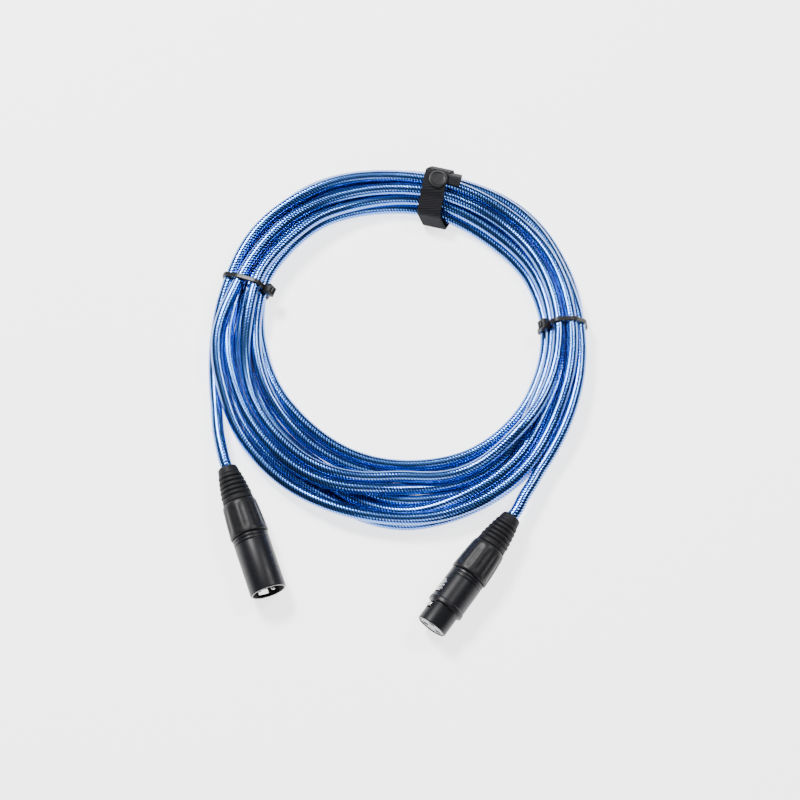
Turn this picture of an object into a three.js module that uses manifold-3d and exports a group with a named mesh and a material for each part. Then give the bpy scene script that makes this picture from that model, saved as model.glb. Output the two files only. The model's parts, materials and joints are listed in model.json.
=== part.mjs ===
// XLR microphone cable wound into a flat coil: a ring-shaped bundle held by two zip ties and a
// hook-and-loop strap, with a male and a female cable connector at its two ends.
// Millimetres. +Z up, the bundle lies on z = 0, +Y points away from the two connectors.
import * as THREE from "three";
import { mergeVertices } from "three/addons/utils/BufferGeometryUtils.js";
import Module from "manifold-3d";

const wasm = await Module();
wasm.setup();

// ---- Driving dimensions ----
const GAP = 0.3; // between neighbouring solids

const CABLE_R = 3.25;
const CABLE_SIDES = 12;

const COIL_CENTRE = [0.8, 27.8];
// The bundle's inner and outer edge round the coil: degrees, then two distances from the centre.
const STATIONS = [
  { at: 6, hole: 75, outer: 99.2 },
  { at: 30, hole: 77.5, outer: 101 },
  { at: 50, hole: 76, outer: 104.6 },
  { at: 77, hole: 76.3, outer: 102.5 },
  { at: 100, hole: 79.7, outer: 102.4 },
  { at: 122, hole: 82.6, outer: 103.4 },
  { at: 158.5, hole: 77.3, outer: 101.3 },
  { at: 190, hole: 70.7, outer: 100 },
  { at: 215, hole: 66, outer: 100.6 },
  { at: 245, hole: 63.6, outer: 99.9 },
  { at: 268, hole: 64.7, outer: 101.9 },
  { at: 300, hole: 69.5, outer: 99.6 },
  { at: 335, hole: 73.1, outer: 98 },
];
const STEPS_BETWEEN = 5; // ring segments from one station to the next
const BUNDLE_AREA = 440; // width times height of the stacked strands
const BUNDLE_HEIGHT = [12, 18.4]; // lowest and highest

const TIE_ANGLES = { tie_left: 158.5, tie_right: 6 };
const TIE_WIDTH = 2.5;
const TIE_THICK = 1.1;
const TIE_HEAD = [5.2, 4.6, 3.4]; // along the tie, along the bundle, out from the bundle
const STRAP_ANGLE = 77;
const STRAP_WIDTH = 12.7;
const STRAP_THICK = 1.6;
const TIE_HEAD_AT = 0.42; // share of the way up the bundle's inner shoulder
const TIE_CLEAR = 0.4; // between the bundle and a tie round it
const STRAP_CLEAR = 1.2; // the wide strap spans a stretch of bundle that narrows
const FLAP_THICK = 1.1;
const FLAP_ROOT = 7.6; // from the middle of the bundle, outwards
const RIVET_R = 4.7;
const RIVET_BACK_R = 3.2;
const RIVET_THICK = 1.1;
const RIVET_AT = 1.5; // from the middle of the bundle, outwards

// A connector lies along its own +X. s = 0 is the rear end of its boot, and its key faces +Z.
const AXIS_Z = 10.2; // the screw cap touches the ground
const MALE = { at: [-89.8, -43.3], yaw: -71, roll: 164, length: 70.6 };
const FEMALE = { at: [58.2, -70.0], yaw: -125.8, roll: 60, length: 72 };

const BOOT = { bore: 3.65, shoulder: 20, neck: 6, flange: 8.2, flangeAt: 22.9, end: 24.2 };
const CAP = { rear: 20.3, front: 39.1, bore: 8.6, hole: 6.3, wall: 22.6, flutes: 24, flute: 0.28 };
const CHUCK = { rear: 25, step: 33.1, front: 37, big: 7.8, small: 6.8, bore: 3.6, slit: 1.2 };
const SPIGOT = { rear: 33.5, front: 39.4, r: 8.2, bore: 7.2 };
const CABLE_END = 37.6;
const BARREL_R = 9.5;
const CONTACT_CIRCLE_R = 4.45;
const CONTACT_ANGLES = [31, 149, 270];
const ROUND = 40; // sides of a large turned piece

const PIN = { r: 1.2, hole: 1.5, cup: 1.5, cupBore: 0.8, rear: 43.9, tip: 69.4 };
const MALE_SHELL = { bore: 8.3, boreFrom: 42, groove: 0.35, grooves: [41.4, 43.2] };
const MALE_INSERT = { rear: 47.5, front: 56.3, r: 8 };
const MALE_WINDOW = { from: 66.1, to: 68.7, width: 5.5 };

const SOCKET = { r: 1.6, hole: 1.9, bore: 1.25, cupBore: 0.8, rear: 41.6, front: 70.3, depth: 12 };
const FLANGE = { from: 57.9, to: 60.2, r: 9.9 };
const NOSE = { r: 8.2, bore: 7.3, boreFrom: 59.8 };
const FEMALE_SHELL = { bore: 8.2, boreFrom: 43 };
const FEMALE_INSERT = { rear: 44, step: 59.4, front: 71.5, big: 7.9, small: 7 };
const LATCH = { pivotS: 46, pivotZ: 6.2, eye: 1.6, low: 5.8, high: 6.6, width: 4.6, end: 65 };
const PAD = { from: 47.8, to: 55.4, top: 10, width: 5.8 };
const HOOK = { from: 62.2, to: 64.4, top: 9.1, width: 5 };
const LATCH_PIN = { r: 0.6, hole: 0.9, half: 4.6 };
const WINDOW_CLEAR = 0.6;

const WIRE_R = 0.65;
const WIRE_SIDES = 8;

// Where each cable end runs once it has left the bundle: points in order from the boot outwards.
const MALE_TAIL_ROUTE = [
  [-93.5, -30.2, 9.6],
  [-95.2, -21.6, 8.6],
  [-96.1, -12.9, 7.6],
  [-96.8, -4.3, 6.8],
  [-97.2, 4.3, 6.3],
  [-97.2, 12.9, 6.0],
];
const FEMALE_TAIL_ROUTE = [
  [64.7, -58.8, 9.8],
  [69.0, -51.7, 9.0],
  [73.4, -43.7, 8.0],
  [77.2, -36.7, 7.2],
  [80.5, -29.9, 6.5],
  [83.4, -23.2, 6.2],
];
const STRAIGHT_OUT = 5; // the cable leaves the boot straight for this far

// ---- Materials ----
const paint = (colour, roughness, metalness) =>
  new THREE.MeshStandardMaterial({ color: colour, roughness, metalness });
const JACKET = paint(0x2f78c4, 0.25, 0.3);
const NYLON = paint(0x17171a, 0.5, 0);
const WEBBING = paint(0x1b1c20, 0.9, 0);
const BLACK_METAL = paint(0x16171a, 0.38, 0.6);
const CARRIER_BLACK = paint(0x101012, 0.55, 0);
const CARRIER_GREY = paint(0x9a9da0, 0.55, 0);
const BRIGHT_METAL = paint(0xd5d6d8, 0.22, 1);
const CAP_PLASTIC = paint(0x18181b, 0.45, 0);
const RUBBER = paint(0x121214, 0.75, 0);
const CLAMP_PLASTIC = paint(0x202226, 0.6, 0);
const WIRES = {
  red: paint(0xb3261e, 0.5, 0),
  white: paint(0xe8e6e0, 0.5, 0),
  drain: paint(0xc08a5a, 0.35, 1),
};

// ---- Solids ----
const radians = THREE.MathUtils.degToRad;

// A closed three.js geometry as a manifold solid.
function solid(geometry) {
  const bare = geometry.clone();
  bare.deleteAttribute("normal");
  bare.deleteAttribute("uv");
  const merged = mergeVertices(bare, 1e-4);
  return new wasm.Manifold(
    new wasm.Mesh({
      numProp: 3,
      vertProperties: new Float32Array(merged.attributes.position.array),
      triVerts: new Uint32Array(merged.index.array),
    }),
  );
}

// A manifold solid as a three.js geometry.
function geometryOf(manifold) {
  const mesh = manifold.getMesh();
  return new THREE.BufferGeometry()
    .setAttribute("position", new THREE.BufferAttribute(new Float32Array(mesh.vertProperties), 3))
    .setIndex(new THREE.BufferAttribute(new Uint32Array(mesh.triVerts), 1));
}

function cutAll(geometry, cutters) {
  return geometryOf(cutters.reduce((body, cutter) => body.subtract(solid(cutter)), solid(geometry)));
}

// A closed profile of [s, r] points turned round the +X axis.
function turned(profile, sides = ROUND) {
  const points = profile.map(([s, r]) => new THREE.Vector2(r, s));
  if (profile[0][1] > 0) points.push(points[0].clone());
  return new THREE.LatheGeometry(points, sides).rotateZ(-Math.PI / 2);
}

function box(from, to) {
  const size = to.map((high, i) => high - from[i]);
  return new THREE.BoxGeometry(...size).translate(...from.map((low, i) => low + size[i] / 2));
}

// A round tube of n sides along a smooth curve through the points.
function tube(points, radius, sides, steps) {
  const ring = new THREE.Shape(
    Array.from({ length: sides }, (_, i) => {
      const turn = (2 * Math.PI * (i + 0.5)) / sides;
      return new THREE.Vector2(radius * Math.cos(turn), radius * Math.sin(turn));
    }),
  );
  const path = new THREE.CatmullRomCurve3(points.map((p) => new THREE.Vector3(...p)));
  return new THREE.ExtrudeGeometry(ring, { steps, extrudePath: path });
}

function named(name, geometry, material) {
  const mesh = new THREE.Mesh(geometry, material);
  mesh.name = name;
  return mesh;
}

// ---- Bundle of the wound cable ----
const polar = (degrees, r) =>
  new THREE.Vector3(r * Math.cos(radians(degrees)), r * Math.sin(radians(degrees)), 0);
const edgeCurve = (edge) =>
  new THREE.CatmullRomCurve3(STATIONS.map((station) => polar(station.at, station[edge])), true);
const holeCurve = edgeCurve("hole");
const outerCurve = edgeCurve("outer");

const bundleHeight = (width) => THREE.MathUtils.clamp(BUNDLE_AREA / width, ...BUNDLE_HEIGHT);

// Width and height of the bundle, and its middle's distance from the centre, at a station.
function bundleAt(degrees) {
  const { hole, outer } = STATIONS.find((station) => station.at === degrees);
  const width = outer - hole;
  return { width, height: bundleHeight(width), middle: (hole + outer) / 2 };
}

// Right half of the stacked strands' outline, from the underside to the top: [from middle, height].
function halfOutline(width, height, bottom) {
  const edge = width / 2;
  return [
    [edge - CABLE_R, bottom],
    [edge - 0.9, Math.max(0.9, bottom)],
    [edge, CABLE_R],
    [edge - 1, 6],
    [edge - 7.2, height - 1.4],
    [edge - 9, height],
  ];
}

function outline(width, height, bottom) {
  const right = halfOutline(width, height, bottom);
  const left = right.map(([u, z]) => [-u, z]).reverse();
  return [...right, ...left];
}

// The bundle as a turned ring, whose sections then span from the hole's edge to the outer edge.
function coilRing() {
  const segments = STATIONS.length * STEPS_BETWEEN;
  const sectionPoints = outline(1, 1, 0).length + 1;
  const blank = Array.from({ length: sectionPoints }, (_, i) => new THREE.Vector2(1, i));
  const ring = new THREE.LatheGeometry(blank, segments);
  for (let i = 0; i <= segments; i++) {
    const hole = holeCurve.getPoint((i % segments) / segments);
    const outer = outerCurve.getPoint((i % segments) / segments);
    const width = hole.distanceTo(outer);
    const section = outline(width, bundleHeight(width), 0);
    for (let j = 0; j < sectionPoints; j++) {
      const [u, z] = section[j % section.length];
      const place = hole.clone().lerp(outer, (u + width / 2) / width);
      ring.attributes.position.setXYZ(i * sectionPoints + j, place.x, place.y, z);
    }
  }
  return ring.translate(...COIL_CENTRE, 0);
}

// Stands a piece drawn at the bundle (X outwards, Y along it, Z up) at its station on the coil.
function atBundle(geometry, degrees) {
  return geometry
    .clone()
    .translate(bundleAt(degrees).middle, 0, 0)
    .rotateZ(radians(degrees))
    .translate(...COIL_CENTRE, 0);
}

// A flat plate of the given outline [u, z], as wide as the band, standing across the bundle.
function plate(points, width, hole) {
  const shape = new THREE.Shape(points.map(([u, z]) => new THREE.Vector2(u, z)));
  if (hole) shape.holes.push(new THREE.Path(hole.map(([u, z]) => new THREE.Vector2(u, z))));
  return new THREE.ExtrudeGeometry(shape, { depth: width, bevelEnabled: false })
    .translate(0, 0, -width / 2)
    .rotateX(Math.PI / 2);
}

// The outline of the bundle grown outwards; a band under the bundle lies on the ground.
function grownOutline(degrees, grow, bottom) {
  const { width, height } = bundleAt(degrees);
  return outline(width + 2 * grow, height + grow, bottom);
}

function bandLoop(degrees, width, thick, clear) {
  const inside = grownOutline(degrees, clear, thick);
  return plate(grownOutline(degrees, clear + thick, 0), width, inside);
}

// The slot that a band needs under the bundle.
function bandSlot(degrees, width, thick) {
  const half = width / 2 + GAP;
  const reach = bundleAt(degrees).width / 2 + 2;
  return atBundle(box([-reach, -half, -1], [reach, half, thick + GAP]), degrees);
}

// A zip tie, with its head on the sloping inner shoulder of the bundle.
function zipTie(degrees) {
  const loop = solid(bandLoop(degrees, TIE_WIDTH, TIE_THICK, TIE_CLEAR));
  const { width, height } = bundleAt(degrees);
  const shoulder = halfOutline(width, height, 0).slice(3, 5);
  const [low, high] = shoulder.map(([u, z]) => new THREE.Vector2(-u, z));
  const place = low.clone().lerp(high, TIE_HEAD_AT);
  const slope = high.clone().sub(low);
  const [along, across, out] = TIE_HEAD;
  const head = box([-along / 2, -across / 2, TIE_CLEAR + GAP / 2], [along / 2, across / 2, out])
    .rotateY(-slope.angle())
    .translate(place.x, 0, place.y);
  const joined = loop.add(solid(head));
  return atBundle(geometryOf(joined), degrees);
}

// The strap's free end: it lies on the loop from beyond the rivet down the outer side.
function strapFlap() {
  const low = STRAP_CLEAR + STRAP_THICK + GAP;
  const { width, height } = bundleAt(STRAP_ANGLE);
  const half = (grow) => halfOutline(width + 2 * grow, height + grow, 0);
  const inner = half(low).slice(2);
  const outer = half(low + FLAP_THICK).slice(2);
  const cutAt = (points) => {
    const [u, z] = points[3];
    const [nextU, nextZ] = points[2];
    if (FLAP_ROOT <= u) return [...points.slice(0, 3), [FLAP_ROOT, z]];
    const share = (FLAP_ROOT - u) / (nextU - u);
    return [...points.slice(0, 3), [FLAP_ROOT, z + share * (nextZ - z)]];
  };
  return atBundle(plate([...cutAt(inner), ...cutAt(outer).reverse()], STRAP_WIDTH), STRAP_ANGLE);
}

function rivetDisc(radius, low, high) {
  const disc = new THREE.CylinderGeometry(radius, radius, high - low, 32).rotateX(Math.PI / 2);
  return atBundle(disc.translate(RIVET_AT, 0, (low + high) / 2), STRAP_ANGLE);
}

function wrapping() {
  const top = bundleAt(STRAP_ANGLE).height + STRAP_CLEAR + STRAP_THICK;
  const holder = new THREE.Group();
  for (const [name, degrees] of Object.entries(TIE_ANGLES))
    holder.add(named(name, zipTie(degrees), NYLON));
  const loop = bandLoop(STRAP_ANGLE, STRAP_WIDTH, STRAP_THICK, STRAP_CLEAR);
  holder.add(named("strap_band", atBundle(loop, STRAP_ANGLE), WEBBING));
  holder.add(named("strap_flap", strapFlap(), WEBBING));
  const cap = rivetDisc(RIVET_R, top + GAP, top + GAP + RIVET_THICK);
  const back = rivetDisc(RIVET_BACK_R, top - STRAP_THICK - 2 * GAP - 0.3, top - STRAP_THICK - GAP);
  holder.add(named("strap_rivet_cap", cap, NYLON), named("strap_rivet_back", back, NYLON));
  return holder;
}

// ---- Connectors ----
// A contact's place across the connector: [y, z].
function contactPlace(degrees) {
  const angle = radians(degrees);
  return [CONTACT_CIRCLE_R * Math.cos(angle), CONTACT_CIRCLE_R * Math.sin(angle)];
}

const contactHoles = (radius, from, to) =>
  CONTACT_ANGLES.map((degrees) =>
    turned([[from, 0], [from, radius], [to, radius], [to, 0]], 16).translate(
      0,
      ...contactPlace(degrees),
    ),
  );

function boot() {
  const { bore, shoulder, neck, flange, flangeAt, end } = BOOT;
  const skin = [[0, 5.1], [2.8, 5.4], [6.1, 6.4], [11.7, 7.3], [shoulder, 8.1]];
  const root = [[shoulder, neck], [flangeAt, neck], [flangeAt, flange], [end, flange]];
  return turned([[0, bore], ...skin, ...root, [end, bore]]);
}

// The screw cap, with shallow grip flutes that fade out at both ends.
function cap() {
  const { rear, front, bore, hole, wall, flutes, flute } = CAP;
  const skin = [[rear, 8.7], [rear + 0.7, 9.2], [27, 9.65], [36.6, 10.15], [38.6, 10.15], [front, 9.6]];
  const body = turned([[rear, hole], ...skin, [front, bore], [wall, bore], [wall, hole]], 2 * flutes);
  const place = body.attributes.position;
  for (let i = 0; i < place.count; i++) {
    const [s, y, z] = [place.getX(i), place.getY(i), place.getZ(i)];
    const r = Math.hypot(y, z);
    const fluted = r > 9.5 && s > rear + 1 && s < front - 1;
    const wave = (1 - Math.cos(flutes * Math.atan2(z, y))) / 2;
    const scale = fluted ? (r - flute * wave) / r : 1;
    place.setXYZ(i, s, y * scale, z * scale);
  }
  return body;
}

// The split collet that grips the cable's jacket.
function chuck() {
  const { rear, step, front, big, small, bore, slit } = CHUCK;
  const skin = [[rear, small], [rear + 1.5, big], [step, big], [step, small], [front, small]];
  const ring = turned([[rear, bore], ...skin, [front, bore]]);
  return cutAll(ring, [box([rear - 1, -slit / 2, 0], [front + 1, slit / 2, big + 1])]);
}

const spigotSkin = [[SPIGOT.rear, SPIGOT.r], [SPIGOT.front, SPIGOT.r], [SPIGOT.front, BARREL_R]];

function grooveSkin() {
  const { groove, grooves } = MALE_SHELL;
  const half = 0.45;
  return grooves.flatMap((s) => [
    [s - half, BARREL_R],
    [s, BARREL_R - groove],
    [s + half, BARREL_R],
  ]);
}

function maleShell() {
  const { bore, boreFrom } = MALE_SHELL;
  const end = MALE.length;
  const mouth = [[end - 0.5, BARREL_R], [end, BARREL_R - 0.5], [end, bore]];
  const inside = [[boreFrom, bore], [boreFrom, SPIGOT.bore]];
  const rear = [SPIGOT.rear, SPIGOT.bore];
  const body = turned([rear, ...spigotSkin, ...grooveSkin(), ...mouth, ...inside], 48);
  const { from, to, width } = MALE_WINDOW;
  return cutAll(body, [box([from, -width / 2, bore - 2], [to, width / 2, BARREL_R + 1])]);
}

function maleInsert() {
  const { rear, front, r } = MALE_INSERT;
  const disc = turned([[rear, 0], [rear, r], [front, r], [front, 0]]);
  const springBed = box([rear + 1, r - 0.9, -1.6], [front + 1, r + 1, 1.6]);
  return cutAll(disc, [...contactHoles(PIN.hole, rear - 1, front + 1), springBed]);
}

function pin(degrees) {
  const { r, cup, cupBore, rear, tip } = PIN;
  const collar = MALE_INSERT.rear - GAP;
  const profile = [
    [rear + 2.4, 0],
    [rear + 2.4, cupBore],
    [rear, cupBore],
    [rear, cup],
    [collar, cup],
    [collar, r],
    [tip - 1, r],
    [tip - 0.3, r * 0.7],
    [tip, 0],
  ];
  return turned(profile, 16).translate(0, ...contactPlace(degrees));
}

const strip = (from, to, low) => box([from, low, -1.2], [to, low + 0.4, 1.2]);

function femaleShell() {
  const { bore, boreFrom } = FEMALE_SHELL;
  const end = FEMALE.length;
  const flange = [[FLANGE.from, BARREL_R], [FLANGE.from, FLANGE.r], [FLANGE.to, FLANGE.r]];
  const nose = [[FLANGE.to, NOSE.r], [end - 0.4, NOSE.r], [end, NOSE.r - 0.4], [end, NOSE.bore]];
  const inside = [[NOSE.boreFrom, NOSE.bore], [NOSE.boreFrom, bore], [boreFrom, bore]];
  const rear = [[SPIGOT.rear, SPIGOT.bore]];
  const skin = [...spigotSkin, ...grooveSkin(), ...flange, ...nose];
  const body = turned([...rear, ...skin, ...inside, [boreFrom, SPIGOT.bore]], 48);
  const window = (part, clear) => {
    const half = part.width / 2 + 0.4;
    return box([part.from - clear, -half, 5], [part.to + clear, half, 12]);
  };
  return cutAll(body, [window(PAD, WINDOW_CLEAR), window(HOOK, WINDOW_CLEAR + 0.3)]);
}

function femaleInsert() {
  const { rear, step, front, big, small } = FEMALE_INSERT;
  const disc = turned([[rear, 0], [rear, big], [step, big], [step, small], [front, small], [front, 0]]);
  const bodyChannel = box([rear - 1, -3.3, 4.4], [step, 3.3, 9]);
  const noseChannel = box([step - 1, -2.8, 4], [LATCH.end + 1.2, 2.8, 9]);
  const springBed = box([rear + 1, big - 0.9, -1.6], [step + 1, big + 1, 1.6]);
  const pinHole = latchPin(LATCH_PIN.hole, LATCH_PIN.half + 1);
  const cutters = [bodyChannel, noseChannel, springBed, pinHole];
  return cutAll(disc, [...contactHoles(SOCKET.hole, rear - 1, front + 1), ...cutters]);
}

function socket(degrees) {
  const { r, bore, cupBore, rear, front, depth } = SOCKET;
  const profile = [
    [rear + 2, 0],
    [rear + 2, cupBore],
    [rear, cupBore],
    [rear, r],
    [front, r],
    [front, bore],
    [front - depth, bore],
    [front - depth, 0],
  ];
  return turned(profile, 20).translate(0, ...contactPlace(degrees));
}

// A rod across the connector on the latch's pivot axis.
function latchPin(radius, half) {
  return new THREE.CylinderGeometry(radius, radius, 2 * half, 16).translate(
    LATCH.pivotS,
    0,
    LATCH.pivotZ,
  );
}

// The lever: an eye on the pivot, a flat bar, the thumb pad in the body's window and the hook.
function latch() {
  const { pivotS, low, high, width, end, eye } = LATCH;
  const half = width / 2;
  const bar = solid(box([pivotS, -half, low], [end, half, high]));
  const pad = solid(plateAlong(padSide(), PAD.width));
  const hook = solid(plateAlong(hookSide(), HOOK.width));
  const knuckle = solid(latchPin(eye, half));
  const bore = solid(latchPin(LATCH_PIN.hole, half + 1));
  return geometryOf(bar.add(pad).add(hook).add(knuckle).subtract(bore));
}

// A side view [s, z] given its width across the connector.
function plateAlong(points, width) {
  const shape = new THREE.Shape(points.map(([s, z]) => new THREE.Vector2(s, z)));
  return new THREE.ExtrudeGeometry(shape, { depth: width, bevelEnabled: false })
    .translate(0, 0, -width / 2)
    .rotateX(Math.PI / 2);
}

function padSide() {
  const { from, to, top } = PAD;
  const ridges = 3;
  const pitch = (to - from) / ridges;
  const teeth = Array.from({ length: ridges }, (_, i) => [
    [from + pitch * i, top - 0.7],
    [from + pitch * (i + 0.35), top],
    [from + pitch * (i + 0.75), top],
  ]).flat();
  return [[from, LATCH.low], ...teeth, [to, top - 0.7], [to, LATCH.low]].reverse();
}

function hookSide() {
  const { from, to, top } = HOOK;
  return [[from, LATCH.low], [to + 0.4, LATCH.low], [to, top - 0.9], [from + 0.7, top], [from, top]];
}

// The leaf that pushes the lever back out.
function latchSpring() {
  const thick = 0.25;
  const side = [[50, 4.9], [57, 5.2], [57, 5.2 + thick], [50, 4.9 + thick]];
  return plateAlong(side, 3.4);
}

// Conductors fan out from the cable's end to the three solder cups.
function wires(prefix, cupRear) {
  return Object.entries(WIRES).map(([colour, material], i) => {
    const [y, z] = contactPlace(CONTACT_ANGLES[i]);
    const start = CABLE_END + GAP;
    const end = cupRear - GAP;
    const route = [
      [start, y * 0.35, z * 0.35],
      [start + (end - start) * 0.35, y * 0.5, z * 0.5],
      [start + (end - start) * 0.7, y * 0.9, z * 0.9],
      [end, y, z],
    ];
    return named(prefix + "_wire_" + colour, tube(route, WIRE_R, WIRE_SIDES, 4), material);
  });
}

// What both connectors have.
function commonPieces(prefix, cupRear) {
  return [
    named(prefix + "_boot", boot(), RUBBER),
    named(prefix + "_cap", cap(), CAP_PLASTIC),
    named(prefix + "_chuck", chuck(), CLAMP_PLASTIC),
    ...wires(prefix, cupRear),
  ];
}

// Lays a connector down: rolled about its own axis, turned to its heading and set in place.
function laidDown(connector, pieces) {
  const group = new THREE.Group();
  group.add(...pieces);
  group.rotation.set(radians(connector.roll), 0, radians(connector.yaw), "ZYX");
  group.position.set(...connector.at, AXIS_Z);
  return group;
}

function maleConnector() {
  return laidDown(MALE, [
    ...commonPieces("male", PIN.rear),
    named("male_shell", maleShell(), BLACK_METAL),
    named("male_insert", maleInsert(), CARRIER_BLACK),
    named("male_earth_spring", strip(49, 55.5, MALE_INSERT.r - 0.55), BRIGHT_METAL),
    ...CONTACT_ANGLES.map((degrees, i) => named("male_pin_" + (i + 1), pin(degrees), BRIGHT_METAL)),
  ]);
}

function femaleConnector() {
  return laidDown(FEMALE, [
    ...commonPieces("female", SOCKET.rear),
    named("female_shell", femaleShell(), BLACK_METAL),
    named("female_insert", femaleInsert(), CARRIER_GREY),
    named("female_latch", latch(), BRIGHT_METAL),
    named("female_latch_spring", latchSpring(), BRIGHT_METAL),
    named("female_latch_pin", latchPin(LATCH_PIN.r, LATCH_PIN.half), BRIGHT_METAL),
    named("female_earth_spring", strip(47, 57, FEMALE_INSERT.big - 0.55), BRIGHT_METAL),
    ...CONTACT_ANGLES.map((degrees, i) => named("female_socket_" + (i + 1), socket(degrees), BRIGHT_METAL)),
  ]);
}

// ---- Cable ----
// A point on a connector's axis.
function onAxis({ at, yaw }, s) {
  return [at[0] + s * Math.cos(radians(yaw)), at[1] + s * Math.sin(radians(yaw)), AXIS_Z];
}

function tailRoute(connector, route) {
  const inside = [CABLE_END, 18, 0, -STRAIGHT_OUT].map((s) => onAxis(connector, s));
  return [...inside, ...route];
}

function cable() {
  const steps = 14;
  const tails = {
    male_tail: tailRoute(MALE, MALE_TAIL_ROUTE),
    female_tail: tailRoute(FEMALE, FEMALE_TAIL_ROUTE),
  };
  const clearances = Object.values(tails).map((route) => {
    const [before, last] = route.slice(-2).map((p) => new THREE.Vector3(...p));
    const beyond = last.clone().addScaledVector(last.clone().sub(before).normalize(), 1);
    return tube([...route.slice(3), beyond.toArray()], CABLE_R + 2 * GAP, CABLE_SIDES, steps);
  });
  const slots = Object.values(TIE_ANGLES).map((degrees) => bandSlot(degrees, TIE_WIDTH, TIE_THICK));
  const strapSlot = bandSlot(STRAP_ANGLE, STRAP_WIDTH, STRAP_THICK);
  return [
    named("cable_coil", cutAll(coilRing(), [...clearances, ...slots, strapSlot]), JACKET),
    ...Object.entries(tails).map(([name, route]) =>
      named(name, tube(route, CABLE_R, CABLE_SIDES, steps), JACKET),
    ),
  ];
}

const xlrCableCoil = new THREE.Group();
xlrCableCoil.add(...cable(), wrapping(), maleConnector(), femaleConnector());

export default xlrCableCoil;
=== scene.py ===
"""Looks of the wound XLR cable: cable, ties, strap and the two connectors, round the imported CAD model."""
import json
import math

import bmesh
import bpy
import numpy as np
from mathutils import Matrix, Vector


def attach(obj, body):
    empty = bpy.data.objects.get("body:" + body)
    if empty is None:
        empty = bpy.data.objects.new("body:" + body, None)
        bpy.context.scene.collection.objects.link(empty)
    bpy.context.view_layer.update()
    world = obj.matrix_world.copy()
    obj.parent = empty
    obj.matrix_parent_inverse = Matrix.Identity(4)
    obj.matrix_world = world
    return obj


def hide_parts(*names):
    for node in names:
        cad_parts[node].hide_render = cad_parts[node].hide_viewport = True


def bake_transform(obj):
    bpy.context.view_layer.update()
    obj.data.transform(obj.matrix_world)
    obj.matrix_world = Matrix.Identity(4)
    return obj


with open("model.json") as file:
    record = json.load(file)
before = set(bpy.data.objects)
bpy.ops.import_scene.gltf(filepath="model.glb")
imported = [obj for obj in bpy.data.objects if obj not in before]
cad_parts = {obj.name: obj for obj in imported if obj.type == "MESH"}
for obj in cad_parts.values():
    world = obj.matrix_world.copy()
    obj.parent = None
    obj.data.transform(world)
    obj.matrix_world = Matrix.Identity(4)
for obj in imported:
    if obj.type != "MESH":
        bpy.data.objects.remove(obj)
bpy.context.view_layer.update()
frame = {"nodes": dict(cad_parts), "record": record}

MM = 0.001  # sizes below are millimetres unless a name says otherwise

# ---- Cable and coil ----
CABLE_R = 3.25
CABLE_D = 2 * CABLE_R
LAYER = CABLE_D * math.sin(math.radians(60))  # rise from one layer of strands to the next
COIL_CENTRE = (0.8, 27.8)
# Round the coil: degrees, inner edge and outer edge of the bundle from the centre.
EDGES = [
    (6, 75, 99.2), (30, 77.5, 101), (50, 76, 104.6), (77, 76.3, 102.5), (100, 79.7, 102.4),
    (122, 82.6, 103.4), (158.5, 77.3, 101.3), (190, 70.7, 100), (215, 66, 100.6), (245, 63.6, 99.9),
    (268, 64.7, 101.9), (300, 69.5, 99.6), (335, 73.1, 98),
]
# Where each turn lies at a station, turn by turn: distance from the centre and layer. The stations
# come in the order in which the cable passes them.
LANES = {
    158.5: [(97.2, 2), (90.7, 2), (84.2, 2), (94, 1), (87.5, 1), (81.2, 1), (84.2, 0), (90.7, 0), (97.2, 0)],
    77: [(92.6, 2), (86.1, 2), (82.8, 1), (89.3, 1), (86.1, 0), (79.6, 0), (92.6, 0), (99.1, 0), (95.9, 1)],
    6: [(90.4, 2), (84.5, 2), (81.5, 1), (87.4, 1), (84.4, 0), (78.5, 0), (90.3, 0), (96.2, 0), (93.3, 1)],
    335: [(91.7, 1), (82.5, 2), (79.5, 1), (85.6, 1), (82.5, 0), (76.4, 0), (88.6, 0), (94.7, 0)],
    300: [(95, 1), (80, 1), (84.5, 0), (88.5, 1), (78.6, 0), (72.7, 0), (90.4, 0), (96.3, 0)],
    268: [(95, 1), (83.5, 1), (80.4, 0), (92.7, 0), (74.2, 0), (68, 0), (86.6, 0), (98.9, 0)],
    245: [(95.8, 1), (83, 1), (89.8, 1), (86.3, 0), (73.3, 0), (66.8, 0), (79.8, 0), (93.5, 0)],
    215: [(96.5, 1), (83, 1), (90, 1), (88.3, 0), (75.5, 0), (69.3, 0), (81.8, 0), (94.8, 0)],
    190: [(97, 1), (84, 1), (90.5, 1), (86.9, 0), (77.2, 1), (73.9, 0), (80.4, 0), (93.4, 0)],
}
FIRST_STATION = 158.5
TURNS = 8
STEP = 5  # degrees between two points of a turn
# The cable comes from the male connector and runs clockwise. Its way into and out of the winding:
# angle in degrees, distance from the centre and height.
WAY_IN = [
    (200, 103.7, 6.2), (195, 101.9, 5.2), (190, 100.2, 4.9), (185, 98.9, 5.6), (180, 98.1, 7),
    (175, 97.6, 8.8), (170, 97.4, 10.8),
]
WAY_OUT = [
    (-8, 94.4, 9.6), (-15, 95.6, 9.8), (-22, 97, 9.6), (-30, 98.4, 9), (-35, 99.3, 8.5),
    (-40, 100.5, 8.1),
]
LAST_TURN = -360 * TURNS  # degrees wound before the way out

# Settling of the winding, round by round.
SETTLE_ROUNDS = 1200
GUIDE_PULL = 0.02  # share of the way back to its lane
WEIGHT = 0.06  # sinking of a strand in a round
PUSH = 0.45  # share of an overlap that each of two strands gives way
STIFFNESS = 0.5
TIGHT_SLACK = 0.2  # play past the bundle's edges under a tie or the strap
LOOSE_SLACK = 1.3  # and how much more there is away from them

CABLE_STEP = 3.2  # between two rings of the cable's mesh
CABLE_SIDES = 20
CABLE_GAP = 0.03  # between two strands that touch

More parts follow.
